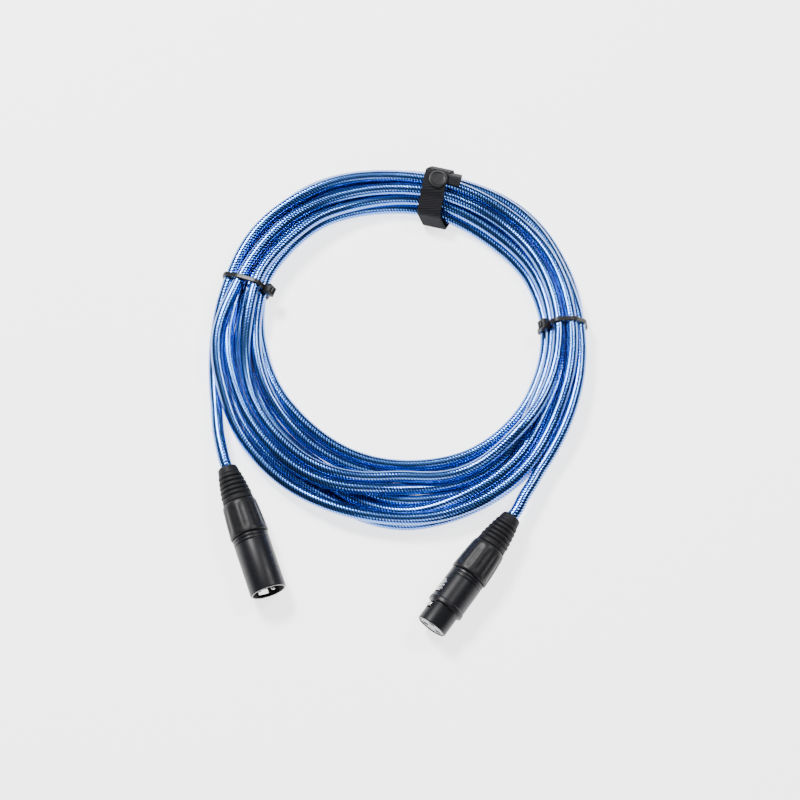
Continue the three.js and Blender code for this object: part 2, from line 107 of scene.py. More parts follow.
TIE_ANGLES = {"tie_left": 158.5, "tie_right": 6}
STRAP_ANGLE = 77
TIE_THICK = 1.1
TIE_WIDTH = 2.5
TIE_GAP = 0.1  # between a tie and the strands
TIE_SPREAD = 3  # half the length of bundle that a tie lies on
# Lowest and highest corners on the band: x along it, y along the bundle, z away from it.
TIE_HEAD = ((-3.0, -2.7, 0.2), (3.0, 2.7, 4.0))
TIE_SLOT = ((-1.7, -1.7, 2.4), (1.4, 1.7, 5))
TIE_STUB = ((-0.3, -1.25, 2.2), (0.8, 1.25, 4.4))
TIE_HEAD_FACING = (-0.86, 0.5)  # the heads lie where the bundle faces inwards and up
STRAP_THICK = 1.6
STRAP_WIDTH = 12.7
FLAP_THICK = 1.3
FLAP_WIDTH = STRAP_WIDTH - 0.4
STRAP_GAP = 0.12  # between two layers of webbing
STRAP_PLAY = 0.25  # between the strap and the strands
LOOP_POINTS = 240
LOOP_STEP = 0.35  # between two of them, about
# Distances from the coil's centre: the strap's hidden and visible end, its loose end and its button.
STRAP_START = 90.5
STRAP_END = 95.2
FLAP_ROOT_AT = 95.6
RIVET_AT = 90.9
STRAP_SLACK = [(77.8, 12.6), (76.9, 3.6)]  # the strap stands off the bundle at these points
STRAP_TOP = 15  # the top of the bundle lies above this height
STRAP_RISE = (9, 2)  # the strap rises onto its own start between these lengths before it
# The strap runs slantwise: share of one round, and how far along the bundle its middle line lies.
STRAP_SLANT = [(0, -5.2), (0.3, -4.0), (0.6, -3.2), (0.78, 1.6), (1, 2.0)]
FLAP_SLANT = (2.0, 0.4)
FLAP_LOW = 4.2  # height of the tip of the loose end
RIVET_ALONG = 0.6
RIVET_R = 5.0

# Braid under the jacket: lines that cross one ring round the cable, and millimetres between lines.
BRAID_TURNS = 7
BRAID_PITCH = 1.6
BRAID_RIGHT = 1.6  # how strongly the lines that lean each way show
BRAID_LEFT = 0.4

# ---- Connectors ----
AXIS_Z = 10.2
MALE = {"at": (-89.8, -43.3), "yaw": -71, "roll": 164, "length": 70.6}
FEMALE = {"at": (58.2, -70.0), "yaw": -125.8, "roll": 60, "length": 72}
MALE_TAIL_ROUTE = [(-93.5, -30.2, 9.6), (-95.2, -21.6, 8.6), (-96.1, -12.9, 7.6)]
FEMALE_TAIL_ROUTE = [(64.7, -58.8, 9.8), (69.0, -51.7, 9.0), (73.4, -43.7, 8.0)]
BARREL_R = 9.5
NOSE_R = 8.2
RIM_DEPTH = 0.2  # lighter metal, a painted highlight, covers this much of a mouth
BOOT_BORE_R = 3.65
CAP_R = 8.7  # the cap's grips lie outside this
FLUTE_DEPTH = 0.3
# Lowest and highest corners in a connector's own frame: x along it, z towards its window.
MALE_WINDOW = ((66.1, -2.75, 6.3), (68.7, 2.75, 10.5))
PAD_WINDOW = ((47.2, -3.3, 5), (56.0, 3.3, 12))
HOOK_WINDOW = ((61.3, -2.9, 5), (65.3, 2.9, 12))
LATCH_PAD = ((47.8, -2.9, 6.4), (55.4, 2.9, 9.75))
LATCH_BAR = ((46.5, -2.3, 5.8), (64.4, 2.3, 6.6))
LATCH_HOOK = ((62.2, -2.5, 6.3), (64.4, 2.5, 9.1))
PAD_SLOTS = (49.6, 51.6, 53.6)
PAD_R = BARREL_R + 0.25
HOOK_R = 8.95
CAP_FLUTES = 12


# ---- Small helpers ----
def link(name, mesh, material, smooth=True):
    """A new object of the mesh, in the scene and with its material."""
    ob = bpy.data.objects.new(name, mesh)
    bpy.context.scene.collection.objects.link(ob)
    if material:
        mesh.materials.append(material)
    if smooth:
        for poly in mesh.polygons:
            poly.use_smooth = True
    return ob


def mesh_of(name, verts, faces):
    """A new mesh of these points and faces."""
    mesh = bpy.data.meshes.new(name)
    mesh.from_pydata([tuple(v) for v in verts], [], [tuple(f) for f in faces])
    mesh.validate()
    return mesh


def turn_normals_out(mesh, merge=True):
    """Turns every face outwards, after joining points that coincide."""
    bm = bmesh.new()
    bm.from_mesh(mesh)
    if merge:
        bmesh.ops.remove_doubles(bm, verts=bm.verts, dist=1e-7)
    bmesh.ops.recalc_face_normals(bm, faces=bm.faces)
    bm.to_mesh(mesh)
    bm.free()


def apply_modifiers(ob):
    """Makes what the object's modifiers show its real mesh."""
    depsgraph = bpy.context.evaluated_depsgraph_get()
    made = bpy.data.meshes.new_from_object(ob.evaluated_get(depsgraph))
    ob.modifiers.clear()
    ob.data = made


def shade_by_angle(ob, degrees=32):
    """Smooth shading, with sharp edges where faces meet at more than the angle."""
    bm = bmesh.new()
    bm.from_mesh(ob.data)
    limit = math.radians(degrees)
    for face in bm.faces:
        face.smooth = True
    for edge in bm.edges:
        sharp = len(edge.link_faces) == 2 and edge.calc_face_angle() > limit
        edge.smooth = not sharp
    bm.to_mesh(ob.data)
    bm.free()


def soften(ob, width, segments=2, degrees=35):
    """Rounds the edges of the piece by a width in millimetres."""
    bevel = ob.modifiers.new("edges", "BEVEL")
    bevel.width = width * MM
    bevel.segments = segments
    bevel.limit_method = "ANGLE"
    bevel.angle_limit = math.radians(degrees)
    bevel.harden_normals = False
    apply_modifiers(ob)


def cut(ob, cutters):
    """Cuts each cutter out of the piece and removes it."""
    for cutter in cutters:
        boolean = ob.modifiers.new("cut", "BOOLEAN")
        boolean.operation = "DIFFERENCE"
        boolean.solver = "EXACT"
        boolean.object = cutter
        apply_modifiers(ob)
        bpy.data.objects.remove(cutter, do_unlink=True)


def box_piece(name, low, high, matrix, material=None):
    """A box between two corners of a local frame."""
    corners = [(x, y, z) for x in (low[0], high[0]) for y in (low[1], high[1]) for z in (low[2], high[2])]
    faces = [(0, 1, 3, 2), (4, 6, 7, 5), (0, 4, 5, 1), (2, 3, 7, 6), (0, 2, 6, 4), (1, 5, 7, 3)]
    mesh = mesh_of(name, [matrix @ Vector(c) * MM for c in corners], faces)
    turn_normals_out(mesh)
    return link(name, mesh, material, smooth=False)


def connector_matrix(connector):
    """From a connector's own frame, x along it from its boot, to the row frame."""
    turn = Matrix.Rotation(math.radians(connector["yaw"]), 4, "Z")
    roll = Matrix.Rotation(math.radians(connector["roll"]), 4, "X")
    return Matrix.Translation((*connector["at"], AXIS_Z)) @ turn @ roll


def on_axis(connector, s):
    """The point at a distance along a connector's axis."""
    yaw = math.radians(connector["yaw"])
    return (connector["at"][0] + s * math.cos(yaw), connector["at"][1] + s * math.sin(yaw), AXIS_Z)


def rounded(profile, radius, steps=3):
    """The profile with each inner corner replaced by a short curve."""
    out = [profile[0]]
    for before, corner, after in zip(profile, profile[1:], profile[2:]):
        a, b, c = (np.array(p, float) for p in (before, corner, after))
        reach_a = min(radius, np.linalg.norm(a - b) * 0.45)
        reach_c = min(radius, np.linalg.norm(c - b) * 0.45)
        start = b + (a - b) / max(np.linalg.norm(a - b), 1e-9) * reach_a
        end = b + (c - b) / max(np.linalg.norm(c - b), 1e-9) * reach_c
        for i in range(steps + 1):
            t = i / steps
            out.append(tuple((1 - t) ** 2 * start + 2 * t * (1 - t) * b + t * t * end))
    out.append(profile[-1])
    return out


def turned(name, profile, matrix, material, sides=96, shape=None):
    """A closed (s, r) profile turned round a connector's axis. shape(s, r, angle) may move r."""
    verts = []
    count = len(profile)
    for i in range(sides):
        angle = 2 * math.pi * i / sides
        for s, r in profile:
            reach = shape(s, r, angle) if shape else r
            point = Vector((s, reach * math.cos(angle), reach * math.sin(angle)))
            verts.append(matrix @ point * MM)
    faces = []
    for i in range(sides):
        for j in range(count):
            a, b = i * count + j, i * count + (j + 1) % count
            c, d = ((i + 1) % sides) * count + (j + 1) % count, ((i + 1) % sides) * count + j
            faces.append((a, b, c, d))
    mesh = mesh_of(name, verts, faces)
    turn_normals_out(mesh)
    ob = link(name, mesh, material)
    shade_by_angle(ob)
    return ob


# ---- Materials ----
class Nodes:
    """Builds one node material step by step."""

    def __init__(self, name):
        self.material = bpy.data.materials.new(name)
        self.material.use_nodes = True
        self.tree = self.material.node_tree
        self.tree.nodes.clear()
        self.shader = self.add("ShaderNodeBsdfPrincipled")
        output = self.add("ShaderNodeOutputMaterial")
        self.tree.links.new(self.shader.outputs["BSDF"], output.inputs["Surface"])

    def add(self, kind, **values):
        node = self.tree.nodes.new(kind)
        for key, value in values.items():
            setattr(node, key, value)
        return node

    def wire(self, source, target):
        self.tree.links.new(source, target)

    def put(self, **values):
        for key, value in values.items():
            self.shader.inputs[key.replace("_", " ")].default_value = value

    def math(self, operation, a, b=0.0):
        node = self.add("ShaderNodeMath", operation=operation)
        for socket, value in zip(node.inputs, (a, b)):
            if isinstance(value, (int, float)):
                socket.default_value = value
            else:
                self.wire(value, socket)
        return node.outputs[0]

    def noise(self, scale, detail=3.0, coordinate="Object"):
        where = self.add("ShaderNodeTexCoord")
        node = self.add("ShaderNodeTexNoise")
        node.inputs["Scale"].default_value = scale
        node.inputs["Detail"].default_value = detail
        self.wire(where.outputs[coordinate], node.inputs["Vector"])
        return node.outputs["Fac"]

    def ramp(self, value, stops):
        node = self.add("ShaderNodeValToRGB")
        ramp = node.color_ramp
        while len(ramp.elements) < len(stops):
            ramp.elements.new(0.5)
        for element, (place, colour) in zip(ramp.elements, stops):
            element.position = place
            element.color = (*colour, 1)
        self.wire(value, node.inputs["Fac"])
        return node.outputs["Color"]

    def colour(self, value, stops):
        self.wire(self.ramp(value, stops), self.shader.inputs["Base Color"])

    def roughness(self, value, low, high):
        node = self.add("ShaderNodeMapRange")
        self.wire(value, node.inputs["Value"])
        node.inputs["To Min"].default_value = low
        node.inputs["To Max"].default_value = high
        self.wire(node.outputs["Result"], self.shader.inputs["Roughness"])

    def bump(self, height, distance, strength=1.0):
        node = self.add("ShaderNodeBump")
        node.inputs["Distance"].default_value = distance
        node.inputs["Strength"].default_value = strength
        self.wire(height, node.inputs["Height"])
        self.wire(node.outputs["Normal"], self.shader.inputs["Normal"])


def braid_material():
    """Blue metallic braid under a clear jacket. The UV map runs 0 to 1 around and in mm along."""
    n = Nodes("jacket_braid")
    uv = n.add("ShaderNodeUVMap", uv_map="cable")
    split = n.add("ShaderNodeSeparateXYZ")
    n.wire(uv.outputs["UV"], split.inputs[0])
    around, along = split.outputs["X"], split.outputs["Y"]
    turn = n.math("MULTIPLY", around, BRAID_TURNS)
    run = n.math("MULTIPLY", along, 1 / BRAID_PITCH)
    right = n.math("PINGPONG", n.math("ADD", turn, run), 0.5)
    left = n.math("PINGPONG", n.math("SUBTRACT", turn, run), 0.5)
    over = n.math("ADD", n.math("MULTIPLY", right, BRAID_RIGHT), n.math("MULTIPLY", left, BRAID_LEFT))
    patches = n.noise(60, 2)
    tone_with_gap_shade = n.math("ADD", n.math("MULTIPLY", over, 0.9), n.math("MULTIPLY", patches, 0.15))
    # The crossing braid lines are the braid's own pattern. The near-black in the gaps between them is
    # painted shade, and the noise patches are random tone.
    n.colour(tone_with_gap_shade, [
        (0.2, (0.001, 0.001, 0.05)),
        (0.45, (0.024, 0.04, 0.46)),
        (0.8, (0.16, 0.5, 1.0)),
    ])
    n.put(Metallic=1.0, Roughness=0.24, IOR=1.45)
    n.put(Coat_Weight=0.7, Coat_Roughness=0.06, Coat_IOR=1.45)
    n.put(Sheen_Weight=0.5, Sheen_Roughness=0.25)
    n.shader.inputs["Sheen Tint"].default_value = (0.72, 0.76, 1.0, 1)
    n.bump(over, 0.0001, 0.7)
    return n.material


def black_metal_material():
    """Black coated metal of the barrels, with a fine satin grain."""
    n = Nodes("black_metal")
    grain = n.noise(1400, 4)
    n.colour(grain, [(0.3, (0.004, 0.004, 0.006)), (0.75, (0.009, 0.009, 0.012))])
    n.roughness(n.noise(300, 3), 0.34, 0.46)
    n.put(Specular_IOR_Level=0.22)
    n.bump(grain, 0.00002, 0.5)
    return n.material


def moulded_material(name, dark, light, rough, grain_scale=900, depth=0.00003, **more):
    """Moulded plastic or rubber: a fine grain between two close colours."""
    n = Nodes(name)
    grain = n.noise(grain_scale, 4)
    n.colour(grain, [(0.3, dark), (0.75, light)])
    n.roughness(n.noise(220, 3), *rough)
    n.put(**more)
    n.bump(grain, depth, 0.6)
    return n.material


def webbing_material():
    """Woven nylon: ribs across the strap, fine yarns along it. UV in millimetres: along, across."""
    n = Nodes("webbing_weave")
    uv = n.add("ShaderNodeUVMap", uv_map="strap")
    split = n.add("ShaderNodeSeparateXYZ")
    n.wire(uv.outputs["UV"], split.inputs[0])
    along, across = split.outputs["X"], split.outputs["Y"]
    slanted = n.math("ADD", along, n.math("MULTIPLY", across, 0.14))
    ribs = n.math("PINGPONG", n.math("MULTIPLY", slanted, 1.1), 0.5)
    yarn = n.math("PINGPONG", n.math("MULTIPLY", across, 1.6), 0.5)
    weave = n.math("ADD", n.math("MULTIPLY", ribs, 1.4), n.math("MULTIPLY", yarn, 0.6))
    fuzz = n.noise(2500, 2)
    height = n.math("ADD", weave, n.math("MULTIPLY", fuzz, 0.35))
    n.colour(height, [
        (0.3, (0.002, 0.002, 0.003)),
        (0.6, (0.007, 0.007, 0.009)),
        (1.0, (0.018, 0.018, 0.021)),
    ])
    n.put(Roughness=0.8, Specular_IOR_Level=0.15, Sheen_Weight=0.02, Sheen_Roughness=0.5)
    n.bump(height, 0.00016, 0.8)
    return n.material


def bright_material(name, dark, light):
    """Bare metal with small brush marks."""
    n = Nodes(name)
    brush = n.noise(700, 3)
    n.colour(brush, [(0.3, dark), (0.7, light)])
    n.roughness(brush, 0.16, 0.32)
    n.put(Metallic=1.0)
    n.bump(brush, 0.00001, 0.4)
    return n.material


def floor_material():
    """Pale, softly lit studio floor."""
    n = Nodes("studio_floor")
    n.colour(n.noise(3, 2), [(0.3, (0.90, 0.90, 0.905)), (0.7, (0.915, 0.915, 0.92))])
    n.put(Roughness=0.9, Emission_Strength=2.4)
    n.shader.inputs["Emission Color"].default_value = (1, 1, 1, 1)
    n.shader.inputs["Specular IOR Level"].default_value = 0.1
    return n.material


BLACK = (0.005, 0.005, 0.006)
MATERIALS = {
    # painted highlight: lighter metal on the rim of each mouth stands in for the bright line its edge
    # catches
    "rim_painted_highlight": bright_material("rim_painted_highlight", (0.10, 0.10, 0.10), (0.2, 0.2, 0.2)),
    # painted shade: near-black metal for the female sockets, for the shade inside their holes
    "socket_painted_shade": bright_material("socket_painted_shade", (0.03, 0.03, 0.03), (0.06, 0.055, 0.05)),
    "latch_metal": bright_material("latch_metal", (0.24, 0.24, 0.24), (0.48, 0.48, 0.47)),
    "jacket": braid_material(),
    "black_metal": black_metal_material(),
    "bright_metal": bright_material("bright_metal", (0.42, 0.41, 0.39), (0.62, 0.61, 0.59)),
    "webbing": webbing_material(),
    "nylon": moulded_material("tie_nylon", BLACK, (0.012, 0.012, 0.013), (0.3, 0.42),
                              Specular_IOR_Level=0.25),
    "boot_rubber": moulded_material("boot_rubber", BLACK, (0.013, 0.013, 0.015), (0.5, 0.66), 1500,
                                    Specular_IOR_Level=0.16),
    "cap_plastic": moulded_material("cap_plastic", BLACK, (0.013, 0.013, 0.015), (0.36, 0.48), 1100,
                                    Specular_IOR_Level=0.2),
    "clamp_plastic": moulded_material("clamp_plastic", (0.02, 0.02, 0.022), (0.05, 0.05, 0.055), (0.5, 0.6)),
    "carrier_black": moulded_material("carrier_black", BLACK, (0.02, 0.02, 0.02), (0.45, 0.6)),
    "carrier_grey": moulded_material("carrier_grey", (0.30, 0.31, 0.32), (0.42, 0.43, 0.45), (0.42, 0.55)),
    "wire_red": moulded_material("wire_red", (0.42, 0.02, 0.015), (0.6, 0.04, 0.03), (0.35, 0.45)),
    "wire_white": moulded_material("wire_white", (0.7, 0.69, 0.66), (0.85, 0.84, 0.8), (0.35, 0.45)),
    "wire_drain": moulded_material("wire_drain", (0.45, 0.24, 0.13), (0.75, 0.45, 0.28), (0.3, 0.4),
                                   Metallic=1.0),
}


# ---- Camera, light and floor ----
CAMERA_AIM = Vector((0.3, -1.9, 0)) * MM
CAMERA_FAR = 1.2  # metres
CAMERA_UP = math.radians(70)
LENS = 101.6  # focal length for a sensor 36 mm wide
FLOOR_HALF = 4.0  # metres
# Name, place in metres, side in metres, watts.
SOFTBOXES = [
    ("key", (-0.6, 0.8, 1.3), 0.36, 52),
    ("fill", (0.75, 0.5, 1.3), 0.3, 14),
    ("front", (0.1, -1.1, 0.9), 0.6, 5),
]


def set_stage():
    """Camera, floor, world and lights."""
    camera = bpy.data.objects.new("camera", bpy.data.cameras.new("camera"))
    bpy.context.scene.collection.objects.link(camera)
    camera.data.lens = LENS
    camera.data.sensor_width = 36
    back = Vector((0, -math.cos(CAMERA_UP), math.sin(CAMERA_UP)))
    camera.location = CAMERA_AIM + back * CAMERA_FAR
    camera.rotation_euler = (-back).to_track_quat("-Z", "Y").to_euler()
    bpy.context.scene.camera = camera
    floor_corners = ((-1, -1), (1, -1), (1, 1), (-1, 1))
    corners = [(x * FLOOR_HALF, y * FLOOR_HALF, 0) for x, y in floor_corners]
    floor = link("floor", mesh_of("floor", corners, [(0, 1, 2, 3)]), floor_material(), smooth=False)
    world = bpy.data.worlds.new("studio")
    world.use_nodes = True
    world.node_tree.nodes["Background"].inputs[0].default_value = (0.92, 0.95, 1, 1)
    world.node_tree.nodes["Background"].inputs[1].default_value = 0.08
    bpy.context.scene.world = world
    for light in SOFTBOXES:
        softbox(*light)


def softbox(name, place, size, power):
    """A square light at a place, turned to the object."""
    light = bpy.data.objects.new(name, bpy.data.lights.new(name, "AREA"))
    bpy.context.scene.collection.objects.link(light)
    light.data.shape = "SQUARE"
    light.data.size = size
    light.data.energy = power
    light.location = place
    light.rotation_euler = (-Vector(place)).to_track_quat("-Z", "Y").to_euler()


# ---- The cable's route ----
def edges_at(degrees):
    """Distance from the centre of the innermost and outermost strand's middle line."""
    places = np.array([e[0] for e in EDGES], float)
    places = np.concatenate([places - 360, places, places + 360])
    inner = np.interp(degrees % 360, places, np.tile([e[1] for e in EDGES], 3)) + CABLE_R
    outer = np.interp(degrees % 360, places, np.tile([e[2] for e in EDGES], 3)) - CABLE_R
    return inner, outer


def evened(values, passes=2):
    """A running average, so that a strand changes lanes gently."""
    for _ in range(passes):
        values = np.convolve(np.pad(values, 2, mode="edge"), np.ones(5) / 5, mode="valid")
    return values


def lane_guide(turn):
    """For each angle along the winding, the distance from the centre and height it should have."""
    knots = []
    for number in range(TURNS + 1):
        for station, lanes in LANES.items():
            if number >= len(lanes):
                continue
            r, layer = lanes[number]
            inner, outer = edges_at(np.array([station]))
            unwound = (station if station <= FIRST_STATION else station - 360) - 360 * number
            knots.append((unwound, (r - inner[0]) / (outer[0] - inner[0]), layer))
    ways = [*WAY_IN, *[(degrees + LAST_TURN, r, height) for degrees, r, height in WAY_OUT]]
    for degrees, r, height in ways:
        inner, outer = edges_at(np.array([degrees]))
        knots.append((degrees, (r - inner[0]) / (outer[0] - inner[0]), (height - CABLE_R) / LAYER))
    knots = np.array(sorted(knots))
    share = evened(np.interp(turn, knots[:, 0], knots[:, 1]))
    layer = evened(np.interp(turn, knots[:, 0], knots[:, 2]))
    inner, outer = edges_at(turn)
    return inner + share * (outer - inner), CABLE_R + layer * LAYER


def lifted_floor(turn):
    """The lowest that a strand's middle line may lie: a tie or the strap under it lifts it."""
    low = np.full(len(turn), CABLE_R)
    bands = [(angle, TIE_THICK) for angle in TIE_ANGLES.values()] + [(STRAP_ANGLE, STRAP_THICK)]
    for angle, thick in bands:
        off = np.abs((turn - angle + 180) % 360 - 180)
        low = np.maximum(low, CABLE_R + thick * np.clip(1 - (off - 2.5) / 10, 0, 1))
    return low


def push_apart(r, z, per_turn):
    """One round of moving strands that pass through each other at the same angle apart."""
    move_r, move_z = np.zeros_like(r), np.zeros_like(z)
    for turns in range(1, TURNS + 1):
        lag = turns * per_turn
        if len(r) <= lag:
            break
        across, up = r[lag:] - r[:-lag], z[lag:] - z[:-lag]
        apart = np.hypot(across, up) + 1e-9
        push = np.clip(CABLE_D - apart, 0, None) * PUSH
        across, up = across / apart * push, up / apart * push
        move_r[:-lag] -= across
        move_z[:-lag] -= up
        move_r[lag:] += across
        move_z[lag:] += up
    return r + move_r, z + move_z


def stiffened(values):
    """Bending stiffness: each point moves towards the smooth curve through its neighbours."""
    smooth = (4 * (values[1:-3] + values[3:-1]) - (values[:-4] + values[4:])) / 6
    out = values.copy()
    out[2:-2] += STIFFNESS * (smooth - values[2:-2])
    return out


def settle_winding():
    """The coil's turns as (x, y, z) points, guided into their lanes and settled as round strands."""
    turn = np.arange(WAY_IN[0][0], WAY_OUT[-1][0] + LAST_TURN - 1e-6, -STEP, dtype=float)
    guide, z = lane_guide(turn)
    r = guide.copy()
    inner, outer = edges_at(turn)
    bands = (*TIE_ANGLES.values(), STRAP_ANGLE)
    near = np.min([np.abs((turn - a + 180) % 360 - 180) for a in bands], axis=0)
    slack = TIGHT_SLACK + LOOSE_SLACK * np.clip((near - 4) / 20, 0, 1)
    outermost = outer + slack
    loose = (turn > WAY_IN[-1][0]) | (turn < WAY_OUT[0][0] + LAST_TURN)
    outermost[loose] = np.maximum(outermost, guide + 0.5)[loose]
    low = lifted_floor(turn)
    for i in range(SETTLE_ROUNDS):
        left = 1 - i / SETTLE_ROUNDS
        r = r + GUIDE_PULL * left * (guide - r)
        z = z - WEIGHT * (0.3 + 0.7 * left)
        r, z = stiffened(r), stiffened(z)
        for _ in range(3):
            r, z = push_apart(r, z, 360 // STEP)
            z = np.maximum(z, low)
            r = np.clip(r, inner - slack, outermost)
            r[:2], z[:2] = np.transpose(WAY_IN[:2])[1:]
            r[-2:], z[-2:] = np.transpose(WAY_OUT[-2:])[1:]
    angle = np.radians(turn)
    return np.stack([COIL_CENTRE[0] + r * np.cos(angle), COIL_CENTRE[1] + r * np.sin(angle), z], 1)


def even_steps(points, spacing):
    """A smooth curve through the points, sampled at an even spacing."""
    points = np.asarray(points, float)
    padded = np.vstack([2 * points[0] - points[1], points, 2 * points[-1] - points[-2]])
    fine = []
    for a, b, c, d in zip(padded, padded[1:], padded[2:], padded[3:]):
        for t in np.linspace(0, 1, 12, endpoint=False):
            fine.append(0.5 * (2 * b + (c - a) * t + (2 * a - 5 * b + 4 * c - d) * t**2
                               + (3 * b - a - 3 * c + d) * t**3))
    fine = np.array([*fine, points[-1]])
    run = np.concatenate([[0], np.cumsum(np.linalg.norm(np.diff(fine, axis=0), axis=1))])
    at = np.linspace(0, run[-1], int(run[-1] / spacing) + 1)
    return np.stack([np.interp(at, run, fine[:, k]) for k in range(3)], 1), run[-1]


def cable_route():
    """Every point of the cable, from inside the male connector's boot to the female one's."""
    male = [on_axis(MALE, s) for s in (22, 12, 0, -5)] + MALE_TAIL_ROUTE
    female = FEMALE_TAIL_ROUTE[::-1] + [on_axis(FEMALE, s) for s in (-5, 0, 12, 22)]
    return np.vstack([male, settle_winding(), female])


def tube_mesh(name, centres, radius, sides):
    """A closed tube along the centres, with a UV map: 0 to 1 around, millimetres along."""
    ahead = np.gradient(centres, axis=0)
    ahead /= np.linalg.norm(ahead, axis=1)[:, None]
    side = np.cross(ahead, [0, 0, 1.0])
    side /= np.linalg.norm(side, axis=1)[:, None]
    up = np.cross(side, ahead)
    angle = np.arange(sides) * 2 * math.pi / sides
    ring = side[:, None] * np.cos(angle)[None, :, None] + up[:, None] * np.sin(angle)[None, :, None]
    verts = (centres[:, None] + radius * ring).reshape(-1, 3) * MM
    count = len(centres)
    faces, uvs = [], []
    run = np.concatenate([[0], np.cumsum(np.linalg.norm(np.diff(centres, axis=0), axis=1))])
    for i in range(count - 1):
        for j in range(sides):
            k = (j + 1) % sides
            faces.append((i * sides + j, i * sides + k, (i + 1) * sides + k, (i + 1) * sides + j))
            u0, u1 = j / sides, (j + 1) / sides
            uvs += [(u0, run[i]), (u1, run[i]), (u1, run[i + 1]), (u0, run[i + 1])]
    faces.append(tuple(range(sides))[::-1])
    faces.append(tuple((count - 1) * sides + j for j in range(sides)))
    uvs += [(0, 0)] * (2 * sides)
    mesh = bpy.data.meshes.new(name)
    mesh.from_pydata(verts.tolist(), [], faces)
    layer = mesh.uv_layers.new(name="cable")
    layer.data.foreach_set("uv", np.array(uvs, dtype=float).ravel())
    return mesh


def make_cable():
    """The whole cable as one tube, with its route and its length in millimetres."""
    centres, length = even_steps(cable_route(), CABLE_STEP)
    mesh = tube_mesh("cable", centres, CABLE_R - CABLE_GAP, CABLE_SIDES)
    turn_normals_out(mesh, merge=False)
    cable = link("cable", mesh, MATERIALS["jacket"])
    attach(cable, "root")
    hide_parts("cable_coil", "male_tail", "female_tail")
    return cable, centres, length


# ---- Bands round the bundle ----
def hull(points):
    """Corners of the smallest convex outline round the points, anticlockwise."""
    points = sorted(map(tuple, points))

    def half(run):
        out = []
        for p in run:
            while len(out) > 1:
                (ax, ay), (bx, by) = out[-2], out[-1]
                if (bx - ax) * (p[1] - ay) - (by - ay) * (p[0] - ax) > 0:
                    break
                out.pop()
            out.append(p)
        return out[:-1]

    return half(points) + half(points[::-1])


def strands_at(centres, degrees, spread):
    """Where the strands cross a section of the coil: distance from the centre and height."""
    away = centres - np.array([*COIL_CENTRE, 0])
    angle = math.radians(degrees)
    along = -away[:, 0] * math.sin(angle) + away[:, 1] * math.cos(angle)
    out = away[:, 0] * math.cos(angle) + away[:, 1] * math.sin(angle)
    near = (np.abs(along) < spread) & (out > 0)
    return np.stack([out[near], away[near, 2]], 1)


def band_outline(centres, degrees, grow, spread, count=96, more=()):
    """The taut outline round the strands at a section, as evenly spaced (distance, height) points."""
    around = np.linspace(0, 2 * math.pi, 24, endpoint=False)
    circle = np.stack([np.cos(around), np.sin(around)], 1) * (CABLE_R + grow)
    strands = np.array([*strands_at(centres, degrees, spread), *more])
    corners = np.array(hull((strands[:, None] + circle[None]).reshape(-1, 2)))
    corners = np.vstack([corners, corners[:1]])
    run = np.concatenate([[0], np.cumsum(np.linalg.norm(np.diff(corners, axis=0), axis=1))])
    at = np.linspace(0, run[-1], count, endpoint=False)
    line = np.stack([np.interp(at, run, corners[:, k]) for k in range(2)], 1)
    return line, run[-1]


def section_matrix(degrees):
    """Section drawing (x outwards, y along the bundle, z up) to the row frame, in millimetres."""
    return Matrix.Translation((*COIL_CENTRE, 0)) @ Matrix.Rotation(math.radians(degrees), 4, "Z")


def band_mesh(name, line, width, thick, matrix, closed, length, crown=0.12, side=None, flip=False):
    """A band of rounded rectangular section along a (distance, height) line, outside it."""
    line = np.asarray(line, float)
    out = outward(line, closed) * (-1 if flip else 1)
    shift = np.zeros(len(line)) if side is None else side
    half = width / 2
    edge = min(0.35, thick * 0.35)
    section = [(-half + edge, 0), (half - edge, 0), (half, edge), (half, thick - edge),
               (half - edge, thick), (0, thick + crown * edge), (-half + edge, thick),
               (-half, thick - edge), (-half, edge)]
    verts = [matrix @ Vector((p[0] + o[0] * t, y + along, p[1] + o[1] * t)) * MM
             for p, o, along in zip(line, out, shift) for y, t in section]
    per, count = len(section), len(line)
    faces, uvs = [], []
    steps = count if closed else count - 1
    pitch = length / count
    for i in range(steps):
        n = (i + 1) % count
        for j in range(per):
            k = (j + 1) % per
            faces.append((i * per + j, i * per + k, n * per + k, n * per + j))
            y0, y1 = section[j][0], section[k][0]
            uvs += [(i * pitch, y0), (i * pitch, y1), ((i + 1) * pitch, y1), ((i + 1) * pitch, y0)]
    if not closed:
        faces += [tuple(range(per))[::-1], tuple((count - 1) * per + j for j in range(per))]
        uvs += [(0, 0)] * (2 * per)
    mesh = bpy.data.meshes.new(name)
    mesh.from_pydata([tuple(v) for v in verts], [], faces)
    layer = mesh.uv_layers.new(name="strap")
    layer.data.foreach_set("uv", np.array(uvs, dtype=float).ravel())
    turn_normals_out(mesh, merge=False)
    return mesh


def above_floor(line, thick):
    """The band's outside never goes under the floor."""
    line = line.copy()
    line[:, 1] = np.maximum(line[:, 1], thick)
    return line


def outward(line, closed=True):
    """Unit normals of an anticlockwise (distance, height) line."""
    ahead = np.roll(line, -1, 0) - np.roll(line, 1, 0) if closed else np.gradient(line, axis=0)
    ahead = ahead / np.linalg.norm(ahead, axis=1)[:, None]
    return np.stack([ahead[:, 1], -ahead[:, 0]], 1)


def shoulder_of(line):
    """Point and normal of the outline where a tie's head lies."""
    out = outward(line)
    best = np.argmax(out @ TIE_HEAD_FACING)
    return line[best], out[best]


